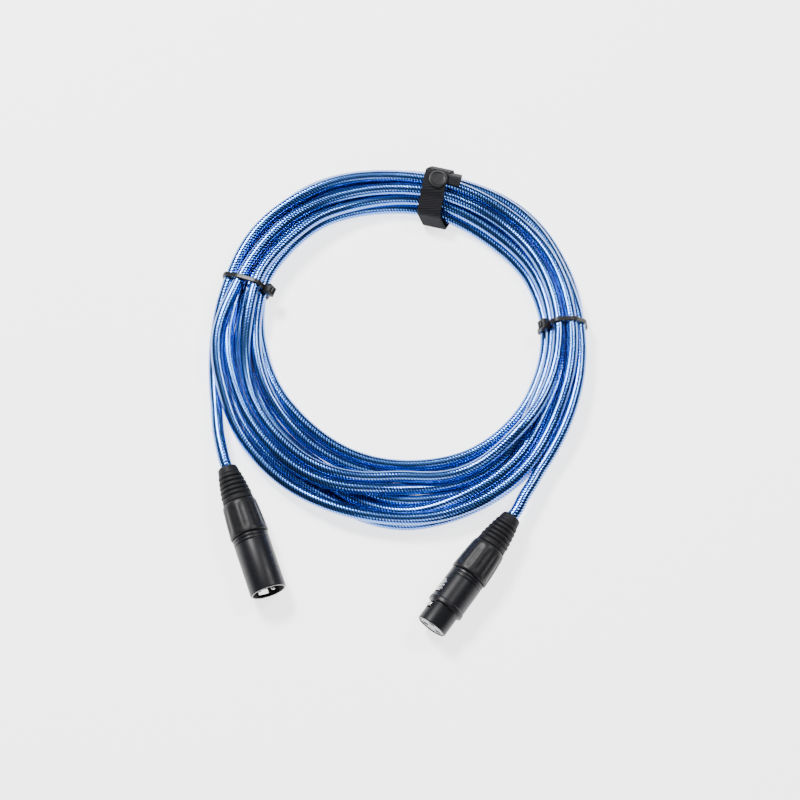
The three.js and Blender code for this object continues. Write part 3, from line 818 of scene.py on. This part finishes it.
def make_tie(name, centres):
    """A zip tie: its band round the strands, its head with the slot, and the cut tail."""
    degrees = TIE_ANGLES[name]
    matrix = section_matrix(degrees)
    line, length = band_outline(centres, degrees, TIE_GAP, TIE_SPREAD)
    line = above_floor(line, TIE_THICK)
    mesh = band_mesh(name, line, TIE_WIDTH, TIE_THICK, matrix, True, length)
    tie = link(name, mesh, MATERIALS["nylon"])
    shade_by_angle(tie, 40)
    at, out = shoulder_of(line)
    upright = matrix @ Matrix.Translation((at[0], 0, at[1])) @ Matrix.Rotation(math.atan2(*out), 4, "Y")
    head = box_piece(name + "_head", *TIE_HEAD, upright, MATERIALS["nylon"])
    slot = box_piece("slot", *TIE_SLOT, upright)
    cut(head, [slot])
    soften(head, 0.35)
    shade_by_angle(head, 40)
    stub = box_piece(name + "_stub", *TIE_STUB, upright, MATERIALS["nylon"])
    soften(stub, 0.15)
    for piece in (tie, head, stub):
        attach(piece, "root")
    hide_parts(name)


def strap_loop(centres):
    """The strap's inside line round the bundle, slack on its inner side, clockwise from the top."""
    spread = STRAP_WIDTH / 2 + 1
    line, _ = band_outline(centres, STRAP_ANGLE, STRAP_PLAY, spread, LOOP_POINTS, STRAP_SLACK)
    line = above_floor(line, STRAP_THICK)[::-1]
    top = np.flatnonzero(line[:, 1] > STRAP_TOP)
    start = top[np.argmin(np.abs(line[top, 0] - STRAP_START))]
    return np.roll(line, -start, 0)


def make_strap(centres):
    """One length of webbing: from under its own end, out, down, under the bundle, up and over the top."""
    matrix = section_matrix(STRAP_ANGLE)
    loop = strap_loop(centres)
    count = len(loop)
    over = np.flatnonzero((loop[:, 0] > STRAP_END) & (np.arange(count) < count / 3))[0]
    path = np.vstack([loop, loop[:over]])
    step = np.linalg.norm(loop[1] - loop[0])
    run = np.arange(len(path)) * step
    whole = count * step
    rise_from, rise_to = STRAP_RISE
    raised = np.clip((run - whole + rise_from) / (rise_from - rise_to), 0, 1)
    raised = (3 * raised**2 - 2 * raised**3) * (STRAP_THICK + STRAP_GAP)
    path = path - outward(path, False) * raised[:, None]
    side = np.interp(run, [whole * share for share, _ in STRAP_SLANT], [along for _, along in STRAP_SLANT])
    mesh = band_mesh("strap", path, STRAP_WIDTH, STRAP_THICK, matrix, False, run[-1], side=side, flip=True)
    strap = link("strap", mesh, MATERIALS["webbing"])
    shade_by_angle(strap, 40)
    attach(strap, "root")
    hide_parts("strap_band")
    make_flap(loop, matrix)
    make_rivet(path, matrix)


def make_flap(loop, matrix):
    """The strap's loose end, over the outer edge and down."""
    first = np.flatnonzero(loop[:, 0] > FLAP_ROOT_AT)[0]
    count = len(loop)
    low = np.flatnonzero((loop[:, 1] < FLAP_LOW) & (np.arange(count) > first))[0]
    part = loop[first:low]
    part = part - outward(part, False) * (STRAP_THICK + STRAP_GAP)
    side = np.linspace(*FLAP_SLANT, len(part))
    mesh = band_mesh("strap_end", part, FLAP_WIDTH, FLAP_THICK, matrix, False, len(part) * LOOP_STEP,
                     side=side, flip=True)
    flap = link("strap_end", mesh, MATERIALS["webbing"])
    shade_by_angle(flap, 40)
    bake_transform(flap)
    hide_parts("strap_flap")


def make_rivet(line, matrix):
    """The round button that holds the strap's fold, with a raised rim."""
    near = line[(np.abs(line[:, 0] - RIVET_AT) < 3) & (line[:, 1] > 8)]
    top = near[:, 1].max() + STRAP_THICK
    upright = matrix @ Matrix.Translation((RIVET_AT, RIVET_ALONG, top))
    upright = upright @ Matrix.Rotation(-math.pi / 2, 4, "Y")
    profile = [(0, 0.01), (0, RIVET_R), (0.7, RIVET_R), (1.15, RIVET_R - 0.5), (1.15, RIVET_R - 1.2),
               (0.9, RIVET_R - 1.5), (0.95, 0.01)]
    rivet = turned("strap_button", rounded(profile, 0.25), upright, MATERIALS["nylon"], 64)
    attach(rivet, "root")
    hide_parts("strap_rivet_cap")


# ---- Connectors ----
def boot_profile():
    """Rubber strain relief: a plain collar, five rings and a shoulder under the cap."""
    skin = [(0, 4.6), (0.5, 5.15), (3.9, 5.75)]
    rings = 5
    first, last = 4.3, 17.2
    pitch = (last - first) / rings
    for i in range(rings):
        s = first + i * pitch
        crest = 6.35 + 1.75 * (i / (rings - 1)) ** 0.85
        skin += [(s, crest - 0.85), (s + 0.45, crest - 0.1), (s + pitch * 0.45, crest),
                 (s + pitch - 0.65, crest - 0.05), (s + pitch - 0.15, crest - 0.8)]
    skin += [(17.4, 8.0), (20.0, 8.25), (20.0, 6.0), (22.9, 6.0), (22.9, 8.2), (24.2, 8.2)]
    return [(0, BOOT_BORE_R), *rounded(skin, 0.35, 2), (24.2, BOOT_BORE_R)]


def cap_profile():
    """Screw cap: a hollow sleeve that widens towards the barrel."""
    skin = [(20.3, 8.2), (20.6, 8.75), (22.5, 9.2), (27, 9.6), (33, 10.0), (36.8, 10.15), (38.7, 10.15),
            (39.1, 9.7)]
    return [(20.3, 6.3), *rounded(skin, 0.5, 3), (39.1, 8.6), (22.6, 8.6), (22.6, 6.3)]


def cap_shape(s, r, angle):
    """Shallow grip flutes that fade out towards both ends of the cap."""
    if r < CAP_R:
        return r
    fade = min(max((s - 22) / 3, 0), 1) * min(max((38 - s) / 3, 0), 1)
    wave = 0.5 - 0.5 * math.cos(CAP_FLUTES * angle)
    return r - FLUTE_DEPTH * fade * wave**1.5


def fine_profile(profile, step=1.2):
    """More points along the long stretches, so that a shape can follow them."""
    out = []
    for (s0, r0), (s1, r1) in zip(profile, profile[1:] + profile[:1]):
        parts = max(1, int(math.hypot(s1 - s0, r1 - r0) / step))
        out += [(s0 + (s1 - s0) * i / parts, r0 + (r1 - r0) * i / parts) for i in range(parts)]
    return out


SPIGOT = [(33.5, 7.2), (33.5, 8.2), (39.4, 8.2), (39.4, 9.2), (39.7, BARREL_R)]


def groove(s, depth=0.35, half=0.4):
    """Profile points of a turned ring groove."""
    return [(s - half, BARREL_R), (s - half * 0.6, BARREL_R - depth), (s + half * 0.6, BARREL_R - depth),
            (s + half, BARREL_R)]


def male_shell(matrix):
    """The male barrel: an open tube with a latch window near its mouth."""
    end = MALE["length"]
    outside = [*SPIGOT, *groove(41.4), *groove(43.2), (end - 0.6, BARREL_R), (end - 0.1, BARREL_R - 0.35),
               (end, BARREL_R - 0.6), (end, 8.45), (end - 0.25, 8.3)]
    profile = [*rounded(outside, 0.18, 2), (42, 8.3), (42, 7.2)]
    shell = turned("male_barrel", profile, matrix, MATERIALS["black_metal"])
    window = box_piece("window", *MALE_WINDOW, matrix)
    cut(shell, [window])
    finish_shell_and_rim_highlight(shell, matrix, end - RIM_DEPTH, "male_shell")


def female_shell(matrix):
    """The female barrel: a collar, a narrower nose, and windows for the latch."""
    end = FEMALE["length"]
    outside = [*SPIGOT, *groove(41.4), *groove(43.2), (57.6, BARREL_R), (57.9, 9.9), (60.0, 9.9),
               (60.2, 9.7), (60.2, NOSE_R), (end - 0.5, NOSE_R), (end, NOSE_R - 0.4), (end, 7.45),
               (end - 0.2, 7.3)]
    profile = [*rounded(outside, 0.2, 2), (59.8, 7.3), (59.8, 8.2), (43, 8.2), (43, 7.2)]
    shell = turned("female_barrel", profile, matrix, MATERIALS["black_metal"])
    pad = box_piece("pad_window", *PAD_WINDOW, matrix)
    hook = box_piece("hook_window", *HOOK_WINDOW, matrix)
    cut(shell, [pad, hook])
    finish_shell_and_rim_highlight(shell, matrix, end - RIM_DEPTH, "female_shell")


def finish_shell_and_rim_highlight(shell, matrix, rim_from, node):
    """Lighter metal on the very rim of the mouth as a painted highlight, black coating elsewhere."""
    shell.data.materials.append(MATERIALS["rim_painted_highlight"])
    back = matrix.inverted()
    along = [(back @ (v.co / MM)).x for v in shell.data.vertices]
    for poly in shell.data.polygons:
        if min(along[i] for i in poly.vertices) > rim_from:
            poly.material_index = 1
    shade_by_angle(shell, 32)
    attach(shell, "root")
    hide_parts(node)


def keep_inside(ob, matrix, radius):
    """Rounds off what of the piece stands outside this radius from the connector's axis."""
    profile = [(40, 0.01), (40, radius), (70, radius), (70, 0.01)]
    round_bar = turned("round_bar", profile, matrix, None, 96)
    boolean = ob.modifiers.new("round", "BOOLEAN")
    boolean.operation = "INTERSECT"
    boolean.solver = "EXACT"
    boolean.object = round_bar
    apply_modifiers(ob)
    bpy.data.objects.remove(round_bar, do_unlink=True)


def make_latch(matrix):
    """Spring steel latch: eye, bar, thumb pad with three cross slots, and the hook in the nose."""
    metal = MATERIALS["latch_metal"]
    pad = box_piece("latch_pad", *LATCH_PAD, matrix, metal)
    slots = [box_piece("slot", (s - 0.5, -4, 8.9), (s + 0.5, 4, 11), matrix) for s in PAD_SLOTS]
    cut(pad, slots)
    keep_inside(pad, matrix, PAD_R)
    bar = box_piece("latch_bar", *LATCH_BAR, matrix, metal)
    hook = box_piece("latch_hook", *LATCH_HOOK, matrix, metal)
    keep_inside(hook, matrix, HOOK_R)
    eye = [(-2.3, 0.65), (-2.3, 1.6), (2.3, 1.6), (2.3, 0.65)]
    across = matrix @ Matrix.Translation((46, 0, 6.2)) @ Matrix.Rotation(math.pi / 2, 4, "Z")
    pieces = [turned("latch_eye", eye, across, metal, 32)]
    for piece in (pad, bar, hook):
        soften(piece, 0.22)
        shade_by_angle(piece, 40)
        pieces.append(piece)
    for piece in pieces:
        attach(piece, "female_latch")
    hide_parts("female_latch")


def make_connector(prefix, connector):
    """The outer pieces of a connector: boot, screw cap and barrel."""
    matrix = connector_matrix(connector)
    boot = turned(prefix + "_strain_relief", boot_profile(), matrix, MATERIALS["boot_rubber"])
    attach(boot, prefix + "_boot")
    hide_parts(prefix + "_boot")
    cap = turned(prefix + "_screw_cap", fine_profile(cap_profile()), matrix, MATERIALS["cap_plastic"], 144,
                 cap_shape)
    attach(cap, prefix + "_cap")
    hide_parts(prefix + "_cap")
    (male_shell if prefix == "male" else female_shell)(matrix)


def refine(node, slot, body, width):
    """The CAD piece itself with softened edges, in its own material."""
    source = frame["nodes"][node]
    mesh = bpy.data.meshes.new_from_object(source)
    mesh.transform(source.matrix_world)
    mesh.materials.clear()
    turn_normals_out(mesh)
    ob = link(node + "_fine", mesh, MATERIALS[slot], smooth=False)
    bm = bmesh.new()
    bm.from_mesh(mesh)
    bmesh.ops.dissolve_limit(bm, angle_limit=math.radians(1), verts=bm.verts, edges=bm.edges)
    bm.to_mesh(mesh)
    bm.free()
    soften(ob, width)
    shade_by_angle(ob, 40)
    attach(ob, body)
    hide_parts(node)
    return ob


def paint_cad_nodes():
    """Every CAD node that stays visible gets its slot's procedural material."""
    slots = {part["node"]: part["material_slot"] for part in frame["record"]["subparts"]}
    for name, ob in frame["nodes"].items():
        ob.data.materials.clear()
        ob.data.materials.append(MATERIALS[slots[name]])


set_stage()
cable, centres, cable_length = make_cable()
for tie_name in TIE_ANGLES:
    make_tie(tie_name, centres)
make_strap(centres)
make_connector("male", MALE)
make_connector("female", FEMALE)
paint_cad_nodes()
for node in ("male_pin_1", "male_pin_2", "male_pin_3"):
    refine(node, "bright_metal", "root", 0.12)
refine("male_insert", "carrier_black", "root", 0.15)
refine("female_insert", "carrier_grey", "root", 0.15)
make_latch(connector_matrix(FEMALE))
# the female sockets get near-black metal as painted shade of their holes
for node in ("female_socket_1", "female_socket_2", "female_socket_3"):
    frame["nodes"][node].data.materials[0] = MATERIALS["socket_painted_shade"]
